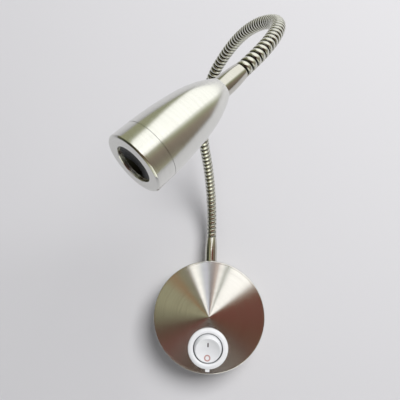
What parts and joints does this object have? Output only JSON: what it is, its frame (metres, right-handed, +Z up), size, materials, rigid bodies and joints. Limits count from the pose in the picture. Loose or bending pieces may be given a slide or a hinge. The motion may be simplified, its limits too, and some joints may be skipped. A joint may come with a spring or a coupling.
{
  "type": "wall reading lamp",
  "caption": "Small wall reading lamp: round metal base with a rocker switch, a ribbed gooseneck arm and a turned bullet-shaped head.",
  "frame": {"origin": "centre of the wall plate's back face, on the wall's surface", "axes": "+Y into the wall, +Z up, the room is towards -Y"},
  "size_m": [0.08, 0.2307, 0.2116],
  "materials": {
    "satin_steel": "radially brushed satin steel",
    "zinc_steel": "zinc plated steel",
    "dark_steel": "blackened steel",
    "satin_nickel": "satin nickel plate",
    "gooseneck_steel": "polished steel strip",
    "spring_steel": "bright spring wire",
    "turned_aluminium": "fine turned satin aluminium",
    "white_nylon": "glossy white moulded plastic",
    "black_plastic": "matte black moulded plastic",
    "driver_plastic": "matte white moulded plastic",
    "terminal_plastic": "natural moulded plastic",
    "foam_pad": "soft grey pad",
    "black_rubber": "soft black rubber",
    "lead_sheath": "soft pale sheath",
    "lead_brown": "soft sheath",
    "lead_black": "soft sheath",
    "lead_blue": "soft sheath",
    "brass": "bright brass",
    "lens_clear": "clear polished optic",
    "board_white": "white solder mask on an aluminium board",
    "emitter_yellow": "phosphor under clear silicone"
  },
  "bodies": {
    "base": {"base_cup": "satin_steel", "base_ferrule": "satin_nickel", "base_nut": "zinc_steel", "base_washer": "zinc_steel", "cable_grommet": "black_rubber", "driver_case": "driver_plastic", "driver_cover": "driver_plastic", "driver_lead": "lead_sheath", "driver_pad": "foam_pad", "earth_screw": "brass", "gooseneck_1": "gooseneck_steel", "lead_1": "lead_sheath", "live_lead": "lead_brown", "neutral_lead": "lead_blue", "side_screws": "dark_steel", "switch_housing": "white_nylon", "switch_terminals": "brass", "switched_lead": "lead_black", "tab_sleeves": "terminal_plastic", "terminal_block": "terminal_plastic", "terminal_screws": "zinc_steel", "wall_plate": "zinc_steel"},
    "arm_2": {"gooseneck_2": "gooseneck_steel", "lead_2": "lead_sheath"},
    "arm_3": {"gooseneck_3": "gooseneck_steel", "lead_3": "lead_sheath"},
    "arm_4": {"gooseneck_4": "gooseneck_steel", "lead_4": "lead_sheath"},
    "arm_5": {"gooseneck_5": "gooseneck_steel", "lead_5": "lead_sheath"},
    "arm_6": {"gooseneck_6": "gooseneck_steel", "lead_6": "lead_sheath"},
    "arm_7": {"gooseneck_7": "gooseneck_steel", "lead_7": "lead_sheath"},
    "head": {"board_screws": "zinc_steel", "front_ring": "turned_aluminium", "gooseneck_8": "gooseneck_steel", "head_ferrule": "satin_nickel", "head_grommet": "black_rubber", "head_lead": "lead_sheath", "head_nut": "zinc_steel", "head_shell": "turned_aluminium", "head_washer": "zinc_steel", "lead_8": "lead_sheath", "led_board": "board_white", "led_carrier": "turned_aluminium", "led_emitter": "emitter_yellow", "lens": "lens_clear", "lens_holder": "black_plastic", "thermal_pad": "foam_pad"},
    "rocker": {"switch_rocker": "white_nylon", "switch_plunger": "brass", "switch_spring": "spring_steel"},
    "contact": {"switch_contact": "brass"}
  },
  "joints": [
    {"name": "flex_1", "type": "hinge", "parent": "base", "child": "arm_2", "pos_m": [-0.00146, -0.02224, 0.09002], "axis": [0.9963, -0.0235, 0.0829], "range_deg": [-25, 25]},
    {"name": "flex_2", "type": "hinge", "parent": "arm_2", "child": "arm_3", "pos_m": [-0.00593, -0.04349, 0.11653], "axis": [-0.0548, 0.7028, 0.7093], "range_deg": [-25, 25]},
    {"name": "flex_3", "type": "hinge", "parent": "arm_3", "child": "arm_4", "pos_m": [-0.00704, -0.06645, 0.1419], "axis": [0.9925, 0.1092, -0.0546], "range_deg": [-25, 25]},
    {"name": "flex_4", "type": "hinge", "parent": "arm_4", "child": "arm_5", "pos_m": [0.00188, -0.09208, 0.16232], "axis": [0.0667, 0.4397, 0.8957], "range_deg": [-25, 25]},
    {"name": "flex_5", "type": "hinge", "parent": "arm_5", "child": "arm_6", "pos_m": [0.01475, -0.12311, 0.16804], "axis": [0.9101, 0.3432, -0.2323], "range_deg": [-25, 25]},
    {"name": "flex_6", "type": "hinge", "parent": "arm_6", "child": "arm_7", "pos_m": [0.02603, -0.15463, 0.16088], "axis": [0.3373, -0.2515, 0.9072], "range_deg": [-25, 25]},
    {"name": "flex_7", "type": "hinge", "parent": "arm_7", "child": "head", "pos_m": [0.02692, -0.18268, 0.14225], "axis": [0.8987, 0.0846, -0.4303], "range_deg": [-25, 25]},
    {"name": "rocker_tip", "type": "hinge", "parent": "base", "child": "rocker", "pos_m": [0, -0.0235, -0.022], "axis": [-1, 0, 0], "range_deg": [0, 28]},
    {"name": "contact_tip", "type": "hinge", "parent": "base", "child": "contact", "pos_m": [0, -0.01485, -0.022], "axis": [-1, 0, 0], "range_deg": [-17, 0.5]}
  ],
  "couplings": [
    {"joint": "contact_tip", "follows": "rocker_tip", "ratio": -0.57143}
  ]
}
